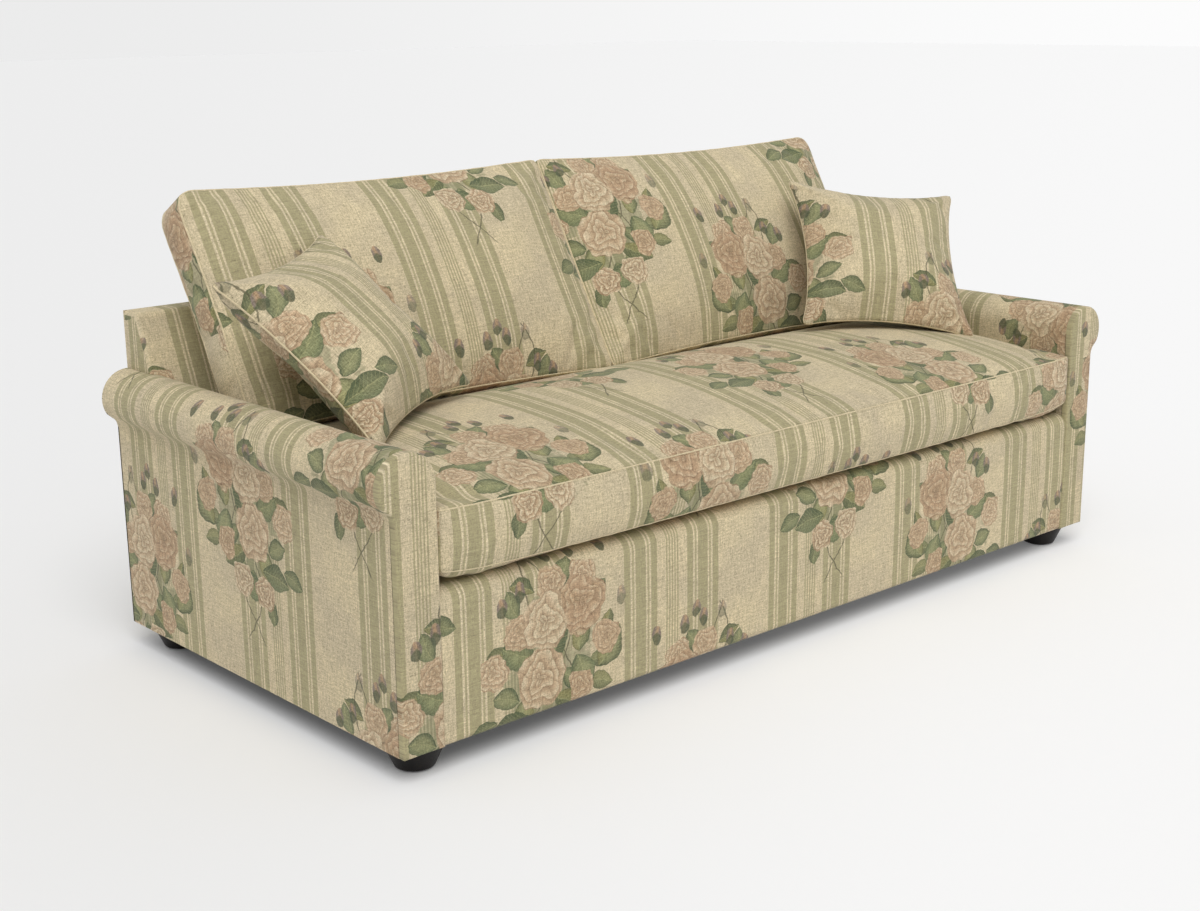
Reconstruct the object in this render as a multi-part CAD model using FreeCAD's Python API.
import FreeCAD, Part
import math
import os
from FreeCAD import Placement, Rotation, Vector

# Three-seater sofa: hardwood frame, sprung seat, scroll arms, loose cushions.
# +X runs along the seat, +Y to the back, +Z up; the origin is on the floor in the middle.

# Overall sizes
body_width = 1980.0  # outside arm to outside arm, under the rolls
body_depth = 938.0  # arm facing to outside back
foot_height = 50.0
arm_height = 572.5
back_height = 687.0  # top of the back frame
deck_height = 327.0  # top of the platform cloth, under the seat cushion
cushion_proud = 14.0  # how far the seat cushion bulges past the arm facings
arm_width = 85.0
soft_gap = 0.3  # clearance round every soft piece

# Cloth and boards
cloth = 2.0
facing_thickness = 16.0
arm_board_thickness = 22.0
side_board_thickness = 3.0
outside_back_thickness = 4.0
dust_cloth = 1.7

# Arm scroll
roll_radius = 57.0
roll_end_angle = 30.0  # how far the roll's circle runs below its widest point
neck_drop = 112.5  # arm top down to where the outside panel starts
neck_rise = 12.0
neck_step = 4.0
roll_padding = 20.0

# Seat border
border_recess = 9.0  # border behind the arm facings
border_padding = 9.0
nose_radius = 26.0
suspension_stack = 27.0  # rail top up to the platform's top

# Frame timber
timber = 28.0
rail_depth = 90.0
spring_rail_depth = 65.0
lower_rail_depth = 60.0
support_hole = 38.0
support_hole_pitch = 190.0
support_holes = 3
block_leg = 110.0
block_height = 45.0
roll_rail_flat = 18.0  # how far the roll rail's flat underside lies below the roll's centre

# Back frame
back_overhang = 54.5  # how far the back frame reaches over each arm
back_top_thickness = 50.0
back_rake = 22.6
back_edge_radius = 12.0
least_edge_radius = 0.5  # inner layers have almost square corners
back_padding = 22.0
back_end_padding = 4.0
upright_width = 28.0
upright_depth = 32.0
top_rail_height = 38.0
webbing_thickness = 1.5
webbing_width = 50.0
webbing_straps = 9
webbing_reach_share = 0.86

# Seat springs
spring_wire = 3.7
spring_count = 10
spring_loop = 44.0  # along the run, half a wave
spring_amplitude = 24.0
spring_reach_share = 0.90
clip_length = 16.0
clip_width = 24.0
clip_wall = 1.5

# Feet
foot_inset = 69.0
foot_top_radius = 55.0
foot_bottom_radius = 37.0
foot_edge = 3.0
glide_radius = 26.0
glide_thickness = 3.0
bolt_radius = 4.0
bolt_fit = 0.05
bolt_depth = 30.0
block_hole_radius = 4.5
nut_radius = 7.5  # over its corners
nut_height = 8.0
nut_sides = 6
dust_hole_radius = 8.0

# Seat cushion
seat_side_gap = 3.0
seat_seam_height = 465.0
seat_low_seam_height = 343.0
seat_low_seam_lift = 8.0  # the low seam rises this much at the ends
seat_crown = 53.0
seat_boxing_bulge = 10.0
seat_peak_share = 0.71  # the crown's highest line, from the nose to the resting place
seat_rest_reach = 366.0  # outside back to the front of the back cushions' resting place
seat_rest_width = 118.0
seat_rest_drop = 36.0  # crown down to the resting place
seat_underside_run = 66.0
seat_back_gap = 1.0
seat_end_draw = 8.0
seat_crown_places = (0.0, 0.045, 0.13, 0.31, 0.66, 1.0)  # shares of the half length, from the end
seat_crown_shares = (0.05, 0.42, 0.73, 0.92, 1.0, 1.0)
seat_inner_places = (0.0, 0.13, 0.66, 1.0)
seat_inner_shares = (0.05, 0.73, 1.0, 1.0)
seat_arc_stretches = 4
seat_inner_stretches = 2
zip_width = 24.0
seat_zip_length = 900.0

# Loose cushions: how full the crown is at each outline, from the seam to the peak
crown_fill_shares = (0.0, 0.28, 0.52, 0.74, 0.9, 1.0)
inner_fill_shares = (0.0, 0.52, 1.0)
peak_share = 0.06
edge_stretches = 4  # straight stretches in each drawn-in edge

# Back cushions
back_cushion_height = 506.0
back_cushion_boxing = 82.0
back_cushion_lean = 30.0
back_cushion_step = 8.0  # the low front seam ahead of the resting place
back_cushion_drop = 5.0  # the low front seam above the resting place
back_front_crown = 45.0
back_rear_crown = 104.0
back_fullness = 2.0  # the power of the crown's curve: 2 is a parabola, more is fuller
back_end_draw = 6.0
back_top_draw = 15.0
back_middle_gap = 1.5
back_zip_length = 520.0

# Scatter cushions
scatter_side = 410.0  # corner to corner along an edge, when filled
scatter_thickness = 150.0
scatter_fullness = 2.5
scatter_rim = 7.0
scatter_draw = 3.0  # how far each edge pulls in at its middle
scatter_seam = 6.0
scatter_gap = 0.9  # clearance under a scatter cushion
settling_steps = 12
left_scatter_place = (158.0, 464.0)  # middle, in from the arm and ahead of the outside back
left_scatter_turns = (24.0, 46.0, -7.0)  # turned in, leaned back, rolled
right_scatter_place = (178.0, 516.0)
right_scatter_turns = (-27.0, 43.0, 9.0)

# Places worked out from the sizes
x_out = body_width / 2
x_in = x_out - arm_width
y_nose = -(body_depth + cushion_proud) / 2
y_face = y_nose + cushion_proud
y_rear = y_face + body_depth
y_rest = y_rear - seat_rest_reach
y_peak = y_nose + seat_peak_share * (y_rest - y_nose)
z_frame = foot_height + dust_cloth + soft_gap
z_rail_top = deck_height - suspension_stack
z_roll = arm_height - roll_radius
x_roll = x_in + roll_radius
z_neck = arm_height - neck_drop
y_board = y_face + facing_thickness
y_border = y_face + border_recess
y_rail = y_border + border_padding
y_rear_board = y_rear - outside_back_thickness - arm_board_thickness
y_back_rail = y_rear - outside_back_thickness - timber
side_stack = cloth + side_board_thickness
x_side_rail = x_out - side_stack - timber
x_board_in = x_in + roll_padding
back_half = x_in + back_overhang
rake_slope = math.tan(math.radians(back_rake))
rake_stretch = 1 / math.cos(math.radians(back_rake))
frame_inset = cloth + back_padding + webbing_thickness
z_spring_rail = z_rail_top - spring_rail_depth
whole = 3 * body_width
overrun = 5.0
twist_limit = 0.001


def box(x, y, z):
    """A box from three (low, high) pairs."""
    return Part.makeBox(x[1] - x[0], y[1] - y[0], z[1] - z[0], Vector(x[0], y[0], z[0]))


def both_sides(shape):
    return {"left": shape.mirror(Vector(), Vector(1, 0, 0)), "right": shape}


def joined(shapes):
    return shapes[0].fuse(shapes[1:]).removeSplitter()


def group(shapes):
    return Part.makeCompound(shapes)


def path(points):
    """Edges through a list of points: a bare point ends a line, a pair is an arc's middle and end."""
    edges = []
    last = points[0]
    for point in points[1:]:
        if isinstance(point, tuple):
            edges.append(Part.Arc(last, point[0], point[1]).toShape())
            last = point[1]
        else:
            edges.append(Part.LineSegment(last, point).toShape())
            last = point
    return edges


def straightened(points, stretches):
    """The same outline with each arc drawn as a few straight stretches."""
    corners = points[:1]
    for edge in path(points):
        count = stretches if isinstance(edge.Curve, Part.Circle) else 1
        corners += edge.discretize(Number=count + 1)[1:]
    return Part.makePolygon(corners)


def flat_faced(loft):
    """A loft of straight-sided outlines in true planes; a twisted face becomes two."""
    faces = []
    for face in loft.Faces:
        corners = [vertex.Point for vertex in face.OuterWire.OrderedVertexes]
        halves = [corners[:3], corners[2:] + corners[:1]]
        plane = Part.Plane(*corners[:3])
        off_plane = plane.toShape().distToShape(Part.Vertex(corners[-1]))[0]
        for outline in halves if off_plane > twist_limit and len(corners) == 4 else [corners]:
            faces.append(Part.Face(Part.makePolygon(outline + outline[:1])))
    shell = Part.Shell(faces)
    shell.sewShape()
    return Part.Solid(shell)


def prism(points, direction):
    return Part.Face(Part.Wire(path(points))).extrude(direction)


# Scroll arms


def on_roll(radius, degrees, y):
    angle = math.radians(degrees)
    return Vector(x_roll + radius * math.cos(angle), y, z_roll + radius * math.sin(angle))


def arm_outline(inset, low, y):
    """The arm's end view, drawn inset from the cloth's outer face, down to the height low."""
    radius = roll_radius - inset
    neck_x = x_out - inset
    neck_top = Vector(neck_x + neck_step, y, z_neck + neck_rise)
    neck_mid = Vector(neck_x + neck_step / 3, y, z_neck + neck_rise / 2)
    return [
        Vector(x_in + inset, y, low),
        on_roll(radius, 180, y),
        (on_roll(radius, 135, y), on_roll(radius, 90, y)),
        (on_roll(radius, 30, y), on_roll(radius, -roll_end_angle, y)),
        neck_top,
        (neck_mid, Vector(neck_x, y, z_neck)),
        Vector(neck_x, y, low),
        Vector(x_in + inset, y, low),
    ]


def arm_block(inset, y, low):
    return prism(arm_outline(inset, low, y[0]), Vector(0, y[1] - y[0], 0))


arm_space = both_sides(arm_block(-soft_gap, (y_face, y_rear + overrun), foot_height))


def back_profile(inset, low, x):
    """The back frame's side view, drawn inset from the cloth on its raked front and its top."""
    top = back_height - inset
    radius = max(back_edge_radius - inset, least_edge_radius)
    rear = y_rear - outside_back_thickness

    def front(z):
        return y_rear - back_top_thickness - (back_height - z) * rake_slope + inset * rake_stretch

    turn = math.radians(90 - back_rake) / 2
    reach = radius * math.tan(turn)
    corner = Vector(x, front(top), top)
    along_top = Vector(0, 1, 0)
    along_rake = Vector(0, -math.sin(math.radians(back_rake)), -math.cos(math.radians(back_rake)))
    start = corner + along_rake * reach
    end = corner + along_top * reach
    centre = end + Vector(0, 0, -radius)
    bisector = (corner - centre).normalize()
    return [
        Vector(x, front(low), low),
        start,
        (centre + bisector * radius, end),
        Vector(x, rear, top),
        Vector(x, rear, low),
        Vector(x, front(low), low),
    ]


def back_front(z):
    """How far back the inside back's cloth lies at a height."""
    return y_rear - back_top_thickness - (back_height - z) * rake_slope


def back_block(inset, half, low):
    return prism(back_profile(inset, low, -half), Vector(2 * half, 0, 0))


# Back uprights and top rail
upright_front = frame_inset * rake_stretch
upright_run = upright_depth * rake_stretch
z_top_rail = back_height - frame_inset - top_rail_height
x_upright = back_half - cloth - back_end_padding - upright_width


def upright(x, clear):
    low = z_spring_rail
    high = z_top_rail
    front = -clear + upright_front
    back = clear + upright_front + upright_run
    points = [
        Vector(x - clear, back_front(low) + front, low),
        Vector(x - clear, back_front(high) + front, high),
        Vector(x - clear, back_front(high) + back, high),
        Vector(x - clear, back_front(low) + back, low),
        Vector(x - clear, back_front(low) + front, low),
    ]
    return prism(points, Vector(upright_width + 2 * clear, 0, 0))


end_upright = both_sides(upright(x_upright, 0))
upright_space = both_sides(upright(x_upright, soft_gap))
top_rail_front = [
    Vector(-back_half + cloth + back_end_padding, back_front(z_top_rail) + upright_front, z_top_rail),
    Vector(
        -back_half + cloth + back_end_padding,
        back_front(z_top_rail + top_rail_height) + upright_front,
        z_top_rail + top_rail_height,
    ),
    Vector(
        -back_half + cloth + back_end_padding,
        y_rear - outside_back_thickness,
        z_top_rail + top_rail_height,
    ),
    Vector(-back_half + cloth + back_end_padding, y_rear - outside_back_thickness, z_top_rail),
    Vector(-back_half + cloth + back_end_padding, back_front(z_top_rail) + upright_front, z_top_rail),
]
nodes = {}
nodes["back_upright_left"] = end_upright["left"]
nodes["back_upright_right"] = end_upright["right"]
nodes["back_upright_centre"] = upright(-upright_width / 2, 0)
nodes["back_top_rail"] = prism(
    top_rail_front, Vector(2 * (back_half - cloth - back_end_padding), 0, 0)
)

# Arms
board_y = (y_board, y_board + arm_board_thickness)
rear_board_y = (y_rear_board, y_rear_board + arm_board_thickness)
inside_y = (board_y[1], y_rear_board)


def arm_board(y):
    """A plywood former, cut to the scroll, its inside edge behind the padding."""
    trim = box((x_in - overrun, x_board_in), y, (foot_height, whole))
    return arm_block(side_stack, y, z_frame).cut(trim)


def arm_cloth():
    y = (y_board, y_rear - outside_back_thickness)
    shell = arm_block(0, y, foot_height).cut(arm_block(cloth, y, foot_height - overrun))
    tuck = box((x_in - overrun, x_in + cloth + overrun), y, (foot_height - overrun, z_rail_top + soft_gap))
    return shell.cut(tuck)


def arm_stuffing():
    """Padding down the inside and over the roll, round the roll rail."""
    y = (board_y[1] + soft_gap, y_rear_board - soft_gap)
    outer = roll_radius - cloth
    inner = outer - roll_padding + cloth
    x_inner = x_roll - inner
    low = z_rail_top + soft_gap
    start = -roll_end_angle
    points = [
        Vector(x_roll - outer, y[0], low),
        on_roll(outer, 180, y[0]),
        (on_roll(outer, 90, y[0]), on_roll(outer, start, y[0])),
        on_roll(inner, start, y[0]),
        (on_roll(inner, 90, y[0]), on_roll(inner, 180, y[0])),
        Vector(x_inner, y[0], low),
        Vector(x_roll - outer, y[0], low),
    ]
    return prism(points, Vector(0, y[1] - y[0], 0))


def roll_rail():
    radius = roll_radius - roll_padding - soft_gap
    rail = Part.makeCylinder(
        radius, inside_y[1] - inside_y[0], Vector(x_roll, inside_y[0], z_roll), Vector(0, 1, 0)
    )
    flat = box((x_in, x_roll + roll_radius), inside_y, (z_roll - roll_radius, z_roll - roll_rail_flat))
    return rail.cut(flat)


def side_board():
    x = (x_out - side_stack, x_out - cloth - soft_gap)
    return box(x, (y_board, y_rear - outside_back_thickness), (z_frame, z_neck))


lower_rail_x = (x_board_in, x_board_in + timber)
arm_pieces = {
    "arm_front_facing": arm_block(0, (y_face, y_board), foot_height),
    "arm_front_board": arm_board(board_y),
    "arm_rear_board": arm_board(rear_board_y),
    "arm_cover": arm_cloth(),
    "arm_padding": arm_stuffing(),
    "arm_roll_rail": roll_rail(),
    "arm_lower_rail": box(lower_rail_x, inside_y, (z_rail_top - lower_rail_depth, z_rail_top)),
    "outside_arm_board": side_board(),
    "side_rail": box((x_side_rail, x_side_rail + timber), inside_y, (z_frame, z_frame + rail_depth)),
}
passed_by_upright = ("arm_cover", "arm_padding", "arm_roll_rail", "arm_lower_rail")
for name, shape in arm_pieces.items():
    if name in passed_by_upright:
        shape = shape.cut(upright_space["right"])
    for side, piece in both_sides(shape).items():
        nodes[name + "_" + side] = piece

# Seat frame
front_rail_x = (-x_board_in, x_board_in)
nodes["front_rail"] = box(front_rail_x, (y_rail, y_rail + timber), (z_frame, z_rail_top))
nodes["back_rail"] = box(
    front_rail_x, (y_back_rail, y_back_rail + timber), (z_frame, z_frame + rail_depth)
)
spring_rail_y = back_front(z_spring_rail) + upright_front
nodes["spring_rail"] = box(
    front_rail_x, (spring_rail_y - timber, spring_rail_y), (z_spring_rail, z_rail_top)
)
support = box(
    (-timber / 2, timber / 2), (y_rail + timber, y_back_rail), (z_frame, z_spring_rail)
)
for index in range(support_holes):
    hole_y = (index - (support_holes - 1) / 2) * support_hole_pitch
    hole = Part.makeCylinder(
        support_hole,
        timber,
        Vector(-timber / 2, hole_y, (z_frame + z_spring_rail) / 2),
        Vector(1, 0, 0),
    )
    support = support.cut(hole)
nodes["centre_support"] = support

# Feet, their bolts and corner blocks
foot_places = {
    "front": y_face + foot_inset,
    "rear": y_rear - foot_inset,
}
x_foot = x_out - foot_inset
block_top = z_frame + block_height


def turned_foot(x, y):
    low = glide_thickness
    points = [
        Vector(0, 0, low),
        Vector(foot_bottom_radius - foot_edge, 0, low),
        Vector(foot_bottom_radius, 0, low + foot_edge),
        Vector(foot_top_radius, 0, foot_height),
        Vector(0, 0, foot_height),
        Vector(0, 0, low),
    ]
    foot = Part.Face(Part.Wire(path(points))).revolve(Vector(), Vector(0, 0, 1), 360)
    bore_radius = bolt_radius + bolt_fit
    bore = Part.makeCylinder(bore_radius, bolt_depth, Vector(0, 0, foot_height - bolt_depth))
    foot = foot.cut(bore)
    foot.translate(Vector(x, y, 0))
    return foot


def corner_block(x, y, side_x, side_y):
    """A three-cornered block in the angle of two rails, with the foot bolt's hole."""
    corner_x = side_x * x_side_rail
    corner_y = y_rail + timber if side_y < 0 else y_back_rail
    base = z_frame
    points = [
        Vector(corner_x, corner_y, base),
        Vector(corner_x - side_x * block_leg, corner_y, base),
        Vector(corner_x, corner_y - side_y * block_leg, base),
        Vector(corner_x, corner_y, base),
    ]
    block = prism(points, Vector(0, 0, block_height))
    return block.cut(Part.makeCylinder(block_hole_radius, block_height, Vector(x, y, base)))


def hex_nut(x, y):
    corners = []
    for index in range(nut_sides + 1):
        angle = 2 * math.pi * index / nut_sides
        way = Vector(math.cos(angle), math.sin(angle), 0)
        corners.append(Vector(x, y, block_top) + way * nut_radius)
    nut = prism(corners, Vector(0, 0, nut_height))
    return nut.cut(Part.makeCylinder(bolt_radius + bolt_fit, nut_height, Vector(x, y, block_top)))


feet = []
blocks = []
bolts = []
nuts = []
glides = []
for row, foot_y in foot_places.items():
    side_y = -1 if row == "front" else 1
    for side_x in (-1, 1):
        foot_x = side_x * x_foot
        bolt_base = Vector(foot_x, foot_y, foot_height - bolt_depth)
        bolt_length = bolt_depth + block_top + nut_height - foot_height
        feet.append(turned_foot(foot_x, foot_y))
        blocks.append(corner_block(foot_x, foot_y, side_x, side_y))
        bolts.append(Part.makeCylinder(bolt_radius, bolt_length, bolt_base))
        nuts.append(hex_nut(foot_x, foot_y))
        glides.append(Part.makeCylinder(glide_radius, glide_thickness, Vector(foot_x, foot_y, 0)))
nodes["feet"] = group(feet)
nodes["corner_blocks"] = group(blocks)
nodes["foot_bolts"] = group(bolts)
nodes["foot_nuts"] = group(nuts)
nodes["foot_glides"] = group(glides)

# Sinuous seat springs: flat waves of wire from the front rail to the spring rail
nose_back = y_border + nose_radius
clip_front = nose_back + soft_gap + clip_wall
clip_back = spring_rail_y - timber + clip_length
spring_front = clip_front + spring_wire / 2
spring_back = clip_back - spring_wire / 2
half_waves = int((spring_back - spring_front) / spring_loop)
loop = (spring_back - spring_front) / half_waves


def spring(x):
    """One wave, as a ribbon whose width is the wire's: each bend is three short flats."""
    centre_line = []
    for wave in range(half_waves):
        side = 1 if wave % 2 else -1
        start = spring_front + wave * loop
        centre_line.append((0, start))
        centre_line.append((side * spring_amplitude, start + loop / 4))
        centre_line.append((side * spring_amplitude, start + loop * 3 / 4))
    centre_line.append((0, spring_back))
    edges = {-1: [], 1: []}
    count = len(centre_line)
    for index, (across, along) in enumerate(centre_line):
        before = centre_line[max(index - 1, 0)]
        after = centre_line[min(index + 1, count - 1)]
        ways = []
        for start, end in ((before, (across, along)), ((across, along), after)):
            length = math.hypot(end[0] - start[0], end[1] - start[1])
            if length:
                ways.append(Vector((end[0] - start[0]) / length, (end[1] - start[1]) / length, 0))
        way = (ways[0] + ways[-1]).normalize()
        half = spring_wire / 2 / way.dot(ways[0])
        normal = Vector(way.y, -way.x, 0) * half
        for side, line in edges.items():
            line.append(Vector(x + across, along, z_rail_top) + normal * side)
    outline = edges[1] + edges[-1][::-1]
    return prism(outline + outline[:1], Vector(0, 0, spring_wire))


def clip(x, y, way):
    """A plate nailed on the rail, folded over the spring's end."""
    low = z_rail_top
    high = low + spring_wire
    across = (x - clip_width / 2, x + clip_width / 2)
    ends = sorted((y, y - way * clip_wall))
    wall = box(across, ends, (low, high + clip_wall))
    flange_y = sorted((y - way * clip_wall, y + way * clip_length / 2))
    flange = box(across, flange_y, (high, high + clip_wall))
    return joined([wall, flange])


spring_reach = spring_reach_share * x_in
springs = []
clips = []
for index in range(spring_count):
    spring_x = -spring_reach + 2 * spring_reach * index / (spring_count - 1)
    springs.append(spring(spring_x))
    clips.append(clip(spring_x, clip_front, 1))
    clips.append(clip(spring_x, clip_back, -1))
nodes["seat_springs"] = group(springs)
nodes["spring_clips"] = group(clips)

# Platform over the springs, and the front border
platform_x = (-(x_in - soft_gap), x_in - soft_gap)
pad_low = z_rail_top + spring_wire + clip_wall
pad_y = (nose_back + soft_gap, back_front(z_rail_top) - 2 * soft_gap)
nodes["spring_pad"] = box(platform_x, pad_y, (pad_low, deck_height - cloth))
nodes["platform_cover"] = box(platform_x, pad_y, (deck_height - cloth, deck_height))
nose_share = math.sqrt(0.5)
border_x = x_in - soft_gap
nose_centre = Vector(-border_x, nose_back, deck_height - nose_radius)
border_profile = [
    Vector(-border_x, y_border, foot_height),
    Vector(-border_x, y_border, deck_height - nose_radius),
    (
        nose_centre + Vector(0, -nose_radius * nose_share, nose_radius * nose_share),
        Vector(-border_x, nose_back, deck_height),
    ),
    Vector(-border_x, nose_back, z_rail_top),
    Vector(-border_x, y_rail, z_rail_top),
    Vector(-border_x, y_rail, foot_height),
    Vector(-border_x, y_border, foot_height),
]
nodes["front_border_cover"] = prism(border_profile, Vector(2 * border_x, 0, 0))

# Back: webbing, padding, cover and outside back
webbing_pitch = 2 * webbing_reach_share * x_in / (webbing_straps - 1)
straps = []
for index in range(webbing_straps):
    strap_x = -webbing_reach_share * x_in + webbing_pitch * index - webbing_width / 2
    strap_front = upright_front - webbing_thickness * rake_stretch
    strap_low = z_rail_top
    strap_high = z_top_rail + top_rail_height
    points = [
        Vector(strap_x, back_front(strap_low) + strap_front, strap_low),
        Vector(strap_x, back_front(strap_high) + strap_front, strap_high),
        Vector(strap_x, back_front(strap_high) + upright_front, strap_high),
        Vector(strap_x, back_front(strap_low) + upright_front, strap_low),
        Vector(strap_x, back_front(strap_low) + strap_front, strap_low),
    ]
    straps.append(prism(points, Vector(webbing_width, 0, 0)))
nodes["back_webbing"] = group(straps)


def back_layer(outer_inset, inner_inset, outer_end, inner_end):
    """A layer of the back, over the arms at its ends and between them below."""
    low = z_rail_top + soft_gap
    between_arms = back_block(outer_inset, x_in - soft_gap - outer_inset, low)
    over_arms = back_block(outer_inset, back_half - outer_end, z_roll)
    for side in ("left", "right"):
        over_arms = over_arms.cut(arm_space[side])
    outer = between_arms.fuse(over_arms)
    return outer.cut(back_block(inner_inset, back_half - inner_end, low - overrun)).removeSplitter()


nodes["inside_back_cover"] = back_layer(0, cloth, 0, cloth)
nodes["inside_back_padding"] = back_layer(
    cloth, cloth + back_padding, cloth, cloth + back_end_padding - soft_gap
)
outside_y = (y_rear - outside_back_thickness, y_rear)
outside_panels = [
    box((-x_in, x_in), outside_y, (foot_height, back_height)),
    box((-back_half, back_half), outside_y, (z_roll, back_height)),
]
outside_panels += both_sides(arm_block(0, outside_y, foot_height)).values()
nodes["outside_back_cover"] = joined(outside_panels)

# Dust cover, with a hole for each foot bolt
dust_half = x_out - cloth - soft_gap
dust_y = (y_rail + soft_gap, outside_y[0] - soft_gap)
dust_cover = box((-dust_half, dust_half), dust_y, (foot_height, foot_height + dust_cloth))
for side_x in (-1, 1):
    for foot_y in foot_places.values():
        hole_base = Vector(side_x * x_foot, foot_y, foot_height)
        dust_cover = dust_cover.cut(Part.makeCylinder(dust_hole_radius, dust_cloth, hole_base))
nodes["dust_cover"] = dust_cover


# Cushions


def swell(low, peak):
    """An arc's middle between a low point and a peak where it runs level."""
    run = peak.y - low.y
    rise = peak.z - low.z
    radius = (run * run + rise * rise) / (2 * abs(rise))
    half_angle = math.asin(min(abs(run) / radius, 1)) / 2
    drop = radius * (1 - math.cos(half_angle))
    return Vector(
        low.x,
        peak.y - math.copysign(radius * math.sin(half_angle), run),
        peak.z - math.copysign(drop, rise),
    )


def seat_section(x, share, skin, stretches):
    """The bench cushion cut across at x; share is how much of the crown stands there."""
    draw = seat_end_draw * (1 - share)
    front = y_nose + seat_boxing_bulge + draw + skin
    rear = back_front(seat_low_seam_height) - seat_back_gap - skin
    top = seat_seam_height - skin
    low = seat_low_seam_height + seat_low_seam_lift * (1 - share) + skin
    floor = deck_height + soft_gap + skin
    low_sag = (low - floor) * share
    crown = seat_crown * share
    rest = top + (seat_crown - seat_rest_drop) * share
    middle = (top + low) / 2
    front_low = Vector(x, front, low)
    front_top = Vector(x, front, top)
    peak = Vector(x, y_peak, top + crown)
    rest_front = Vector(x, y_rest, rest)
    rest_rear = Vector(x, y_rest + seat_rest_width, rest)
    rear_top = Vector(x, rear, top)
    rear_low = Vector(x, rear, low)
    under_rear = Vector(x, rear - seat_underside_run, low - low_sag)
    under_front = Vector(x, front + seat_underside_run, low - low_sag)
    bulge = seat_boxing_bulge * max(share, seat_crown_shares[0])
    points = [
        front_low,
        (Vector(x, front - bulge, middle), front_top),
        (swell(front_top, peak), peak),
        (swell(rest_front, peak), rest_front),
        rest_rear,
        (swell(rear_top, rest_rear), rear_top),
        rear_low,
        (swell(rear_low, under_rear), under_rear),
        under_front,
        (swell(front_low, under_front), front_low),
    ]
    return straightened(points, stretches)


def seat_form(skin, under, places, shares, stretches):
    half = x_in - seat_side_gap - skin
    sections = []
    for place, share in zip(places, shares):
        sections.append((-half * (1 - place), share))
    sections += [(-x, share) for x, share in sections[-2::-1]]
    outlines = [seat_section(x, share, skin, stretches) for x, share in sections]
    form = flat_faced(Part.makeLoft(outlines, True, True))
    floor = deck_height + soft_gap + under
    return form.cut(box((-whole, whole), (-whole, whole), (-whole, floor)))


rear_boxing = back_front(seat_low_seam_height) - seat_back_gap
zip_z = (seat_low_seam_height + seat_seam_height) / 2
seat_zip = box(
    (-seat_zip_length / 2, seat_zip_length / 2),
    (rear_boxing - cloth, rear_boxing),
    (zip_z - zip_width / 2, zip_z + zip_width / 2),
)
seat_inside = (seat_inner_places, seat_inner_shares, seat_inner_stretches)
seat_outer = seat_form(0, 0, seat_crown_places, seat_crown_shares, seat_arc_stretches)
seat_hollow = seat_form(cloth, cloth, *seat_inside)
core_skin = cloth + soft_gap
nodes["seat_cushion_cover"] = seat_outer.cut(seat_hollow).cut(seat_zip)
nodes["seat_cushion_core"] = seat_form(core_skin, core_skin, *seat_inside)
nodes["seat_cushion_zip"] = seat_zip

rest_height = seat_seam_height + seat_crown - seat_rest_drop + soft_gap
lean = math.radians(back_cushion_lean)
back_cushion_length = x_in - seat_side_gap - back_middle_gap
lean_up = Vector(0, math.sin(lean), math.cos(lean))
lean_back = Vector(0, math.cos(lean), -math.sin(lean))
back_corner = Vector(0, y_rest - back_cushion_step, rest_height + back_cushion_drop)


def drawn_outline(middle, across, up, half, draw):
    """Four edges between corners, each drawn in along a parabola of short straight stretches."""
    points = []
    turns = ((across, up, half, draw[1]), (up, across * -1, half[::-1], draw[0]))
    for sign in (1, -1):
        for along, inward, size, depth in turns:
            for index in range(edge_stretches):
                place = 2 * index / edge_stretches - 1
                drawn = depth * (1 - place * place)
                points.append(middle + (along * (place * size[0]) + inward * (drawn - size[1])) * sign)
    return Part.makePolygon(points + points[:1])


def crowned_form(middle, ways, half, draw, boxing, crowns, fullness, fill_shares):
    """Outlines from the front crown's peak, over the boxing, to the rear crown's peak."""
    across, up, out = ways
    reach = min(half) * (1 - peak_share)
    levels = [(-1, crowns[0], fill) for fill in fill_shares[::-1]]
    levels += [(1, crowns[1], fill) for fill in fill_shares]
    outlines = []
    for side, crown, fill in levels:
        inset = reach * (1 - math.pow(1 - fill, 1 / fullness))
        centre = middle + out * (side * (boxing / 2 + crown * fill))
        size = (half[0] - inset, half[1] - inset)
        pull = (draw[0] * size[1] / half[1], draw[1] * size[0] / half[0])
        outlines.append(drawn_outline(centre, across, up, size, pull))
    return flat_faced(Part.makeLoft(outlines, True, True))


def back_form(skin, under, fill_shares):
    half = (back_cushion_length / 2 - skin, back_cushion_height / 2 - skin)
    middle = back_corner + Vector(back_middle_gap + back_cushion_length / 2, 0, 0)
    middle += lean_up * (back_cushion_height / 2) + lean_back * (back_cushion_boxing / 2)
    form = crowned_form(
        middle,
        (Vector(1, 0, 0), lean_up, lean_back),
        half,
        (back_end_draw, back_top_draw),
        back_cushion_boxing - 2 * skin,
        (back_front_crown, back_rear_crown),
        back_fullness,
        fill_shares,
    )
    return form.cut(box((-whole, whole), (-whole, whole), (-whole, rest_height + under)))


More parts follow.
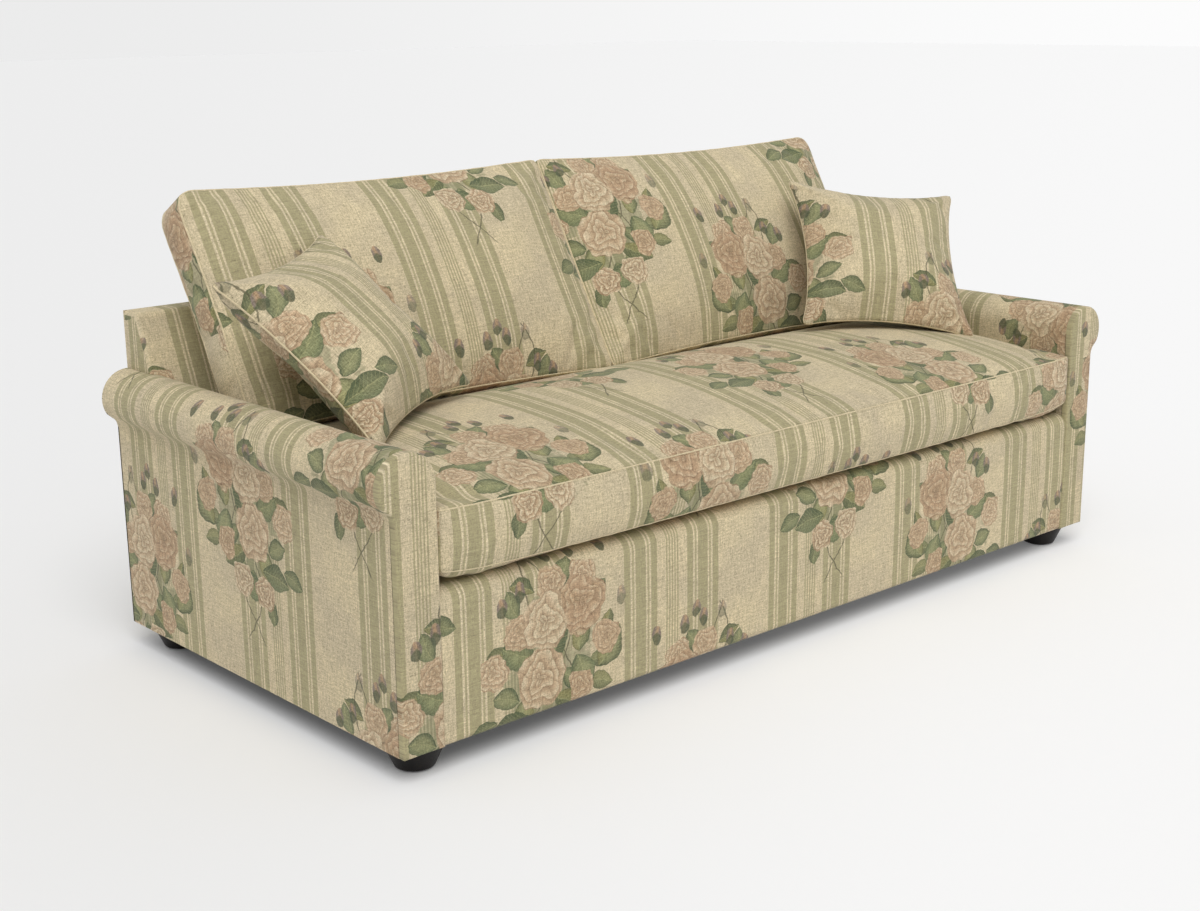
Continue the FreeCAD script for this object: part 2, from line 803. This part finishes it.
back_middle_x = back_middle_gap + back_cushion_length / 2
back_zip_y = back_corner.y + back_cushion_boxing / 2
back_zip = box(
    (back_middle_x - back_zip_length / 2, back_middle_x + back_zip_length / 2),
    (back_zip_y - zip_width / 2, back_zip_y + zip_width / 2),
    (rest_height, rest_height + cloth),
)
back_outer = both_sides(back_form(0, 0, crown_fill_shares))
back_hollow = back_form(cloth, cloth, inner_fill_shares)
back_pieces = {
    "cover": back_outer["right"].cut(back_hollow).cut(back_zip),
    "pad": back_form(core_skin, core_skin, inner_fill_shares),
    "zip": back_zip,
}
for name, shape in back_pieces.items():
    for side, piece in both_sides(shape).items():
        nodes["back_cushion_" + side + "_" + name] = piece


def scatter_form(skin, fill_shares):
    """A pillow about its own middle: two crowns that meet at a narrow rim."""
    half = scatter_side / 2 - (scatter_seam + skin if skin else 0)
    crown = (scatter_thickness - scatter_rim) / 2
    return crowned_form(
        Vector(),
        (Vector(1, 0, 0), Vector(0, 0, 1), Vector(0, 1, 0)),
        (half, half),
        (scatter_draw, scatter_draw),
        scatter_rim - 2 * skin,
        (crown, crown),
        scatter_fullness,
        fill_shares,
    )


def set_down(pieces, supports):
    """Lower the pieces together until the first one lies just clear of what is under it."""
    for _ in range(settling_steps):
        gap = min(pieces[0].distToShape(support)[0] for support in supports)
        if gap < scatter_gap + soft_gap / 10:
            break
        for piece in pieces:
            piece.translate(Vector(0, 0, scatter_gap - gap))
    return pieces


scatter_poses = {
    "left": (-1, left_scatter_place, left_scatter_turns),
    "right": (1, right_scatter_place, right_scatter_turns),
}
pillow_outer = scatter_form(0, crown_fill_shares)
pillow_hollow = scatter_form(cloth, inner_fill_shares)
pillow_pad = scatter_form(core_skin, inner_fill_shares)
for side, (way, place, turns) in scatter_poses.items():
    turn_in, lean_angle, roll = turns
    turned = Rotation(Vector(0, 0, 1), turn_in)
    turned = turned * Rotation(Vector(1, 0, 0), -lean_angle) * Rotation(Vector(0, 1, 0), roll)
    middle = Vector(way * (x_in - place[0]), y_rear - place[1], arm_height + scatter_side / 2)
    spot = Placement(middle, turned)
    pieces = [pillow_outer.copy(), pillow_outer.cut(pillow_hollow), pillow_pad.copy()]
    for piece in pieces:
        piece.Placement = spot
    supports = [seat_outer, back_outer[side]]
    _, pillow_cover, pillow_inside = set_down(pieces, supports)
    nodes["scatter_cushion_" + side + "_cover"] = pillow_cover
    nodes["scatter_cushion_" + side + "_pad"] = pillow_inside

os.makedirs("parts", exist_ok=True)
for name, shape in nodes.items():
    shape.exportStep("parts/" + name + ".step")
    print(name, len(shape.Solids), shape.isValid(), round(shape.Volume / 1000), "cm3")
print(len(nodes), "nodes")
